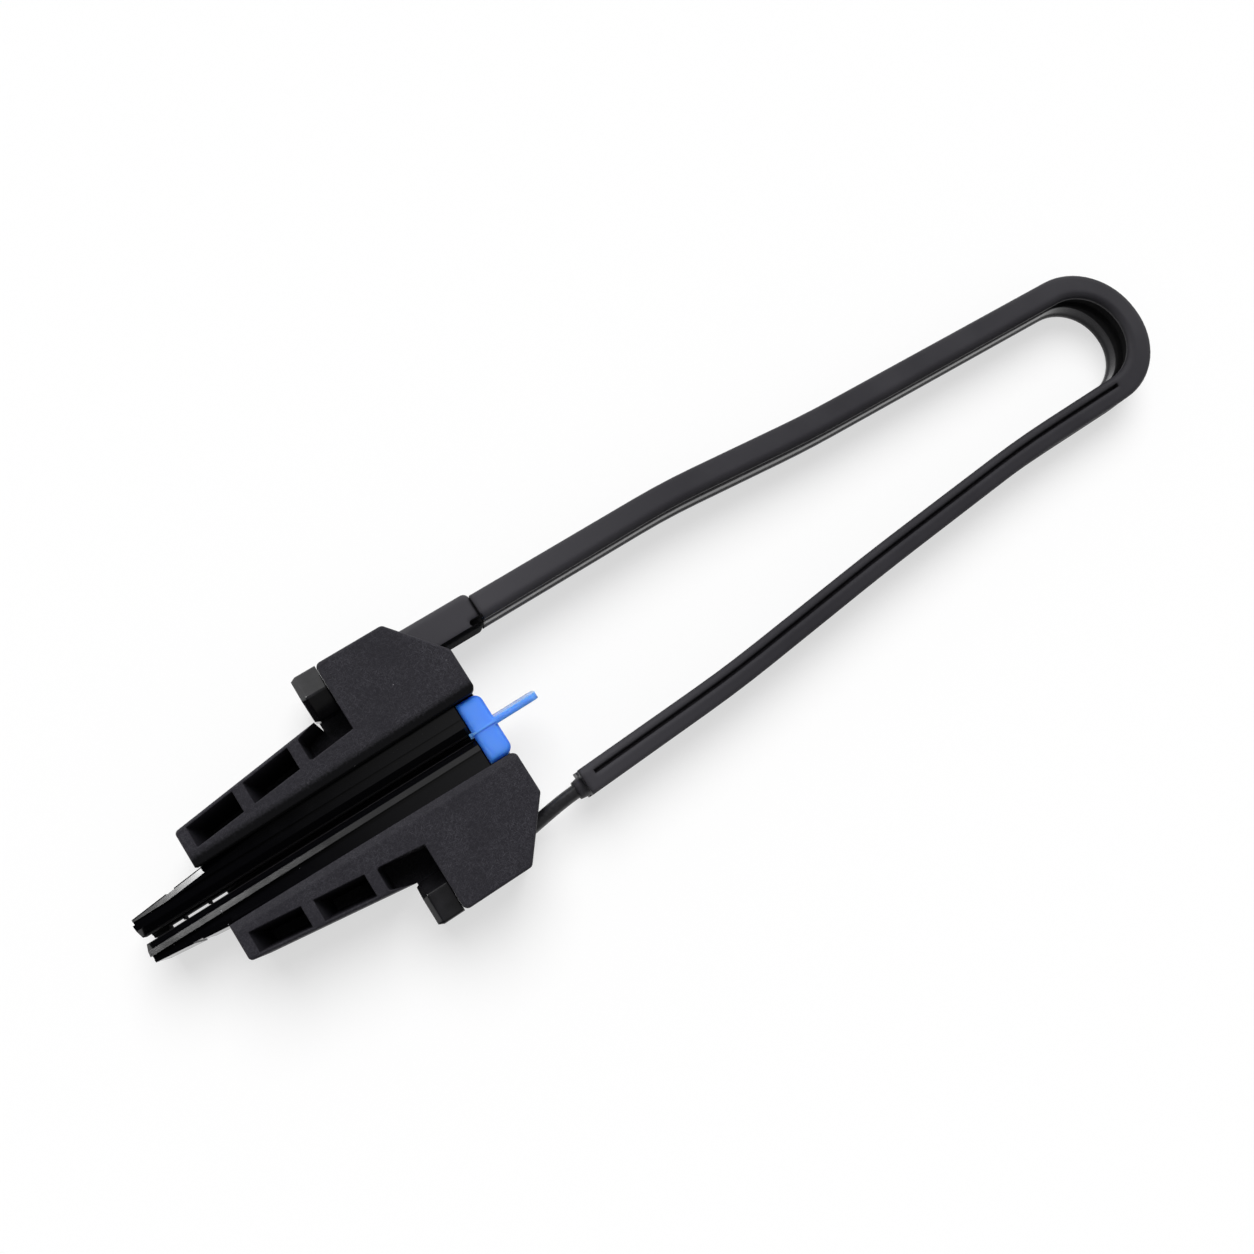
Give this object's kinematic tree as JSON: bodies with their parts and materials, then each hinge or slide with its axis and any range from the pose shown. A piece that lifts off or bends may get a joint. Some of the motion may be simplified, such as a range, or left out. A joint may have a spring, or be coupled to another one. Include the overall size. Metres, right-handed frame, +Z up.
{
  "type": "drop cable clamp",
  "caption": "Black moulded clamp with sliding wedges that grip a round drop cable, a blue wedge retainer with a pull tab, and a corded bail with a moulded thimble to hang it from a hook.",
  "frame": {"origin": "middle of the clamp body's flat base, on the surface it lies on", "axes": "+X from the clamp body towards the bail's loop, +Y to the side of the bail's sleeve, +Z up out of the slot over the wedges"},
  "size_m": [0.286, 0.064, 0.0205],
  "materials": {
    "body_plastic": "glass-filled black polyamide, matte with fine fibre speckle",
    "wedge_plastic": "glossy black moulding",
    "retainer_plastic": "translucent bright blue moulding",
    "cord_sheath": "smooth black sheath",
    "bail_plastic": "satin black moulding"
  },
  "bodies": {
    "body": {"clamp_body": "body_plastic"},
    "left_wedge": {"wedge_left": "wedge_plastic"},
    "right_wedge": {"wedge_right": "wedge_plastic"},
    "retainer": {"wedge_retainer": "retainer_plastic"},
    "bail": {"bail_cord": "cord_sheath", "bail_thimble": "bail_plastic", "bail_head_left": "bail_plastic", "bail_head_right": "bail_plastic"}
  },
  "joints": [
    {"name": "left_wedge_slide", "type": "slide", "parent": "body", "child": "left_wedge", "axis": [0.994, 0.1097, 0], "range_m": [0, 0.02]},
    {"name": "right_wedge_slide", "type": "slide", "parent": "body", "child": "right_wedge", "axis": [0.994, -0.1097, 0], "range_m": [0, 0.02]},
    {"name": "retainer_slide", "type": "slide", "parent": "body", "child": "retainer", "axis": [1, 0, 0], "range_m": [0, 0.02]},
    {"name": "bail_slide", "type": "slide", "parent": "body", "child": "bail", "axis": [-0.9998, 0, 0.019], "range_m": [0, 0.008]}
  ],
  "couplings": [
    {"joint": "right_wedge_slide", "follows": "left_wedge_slide", "ratio": 1},
    {"joint": "retainer_slide", "follows": "left_wedge_slide", "ratio": 0.99396}
  ]
}
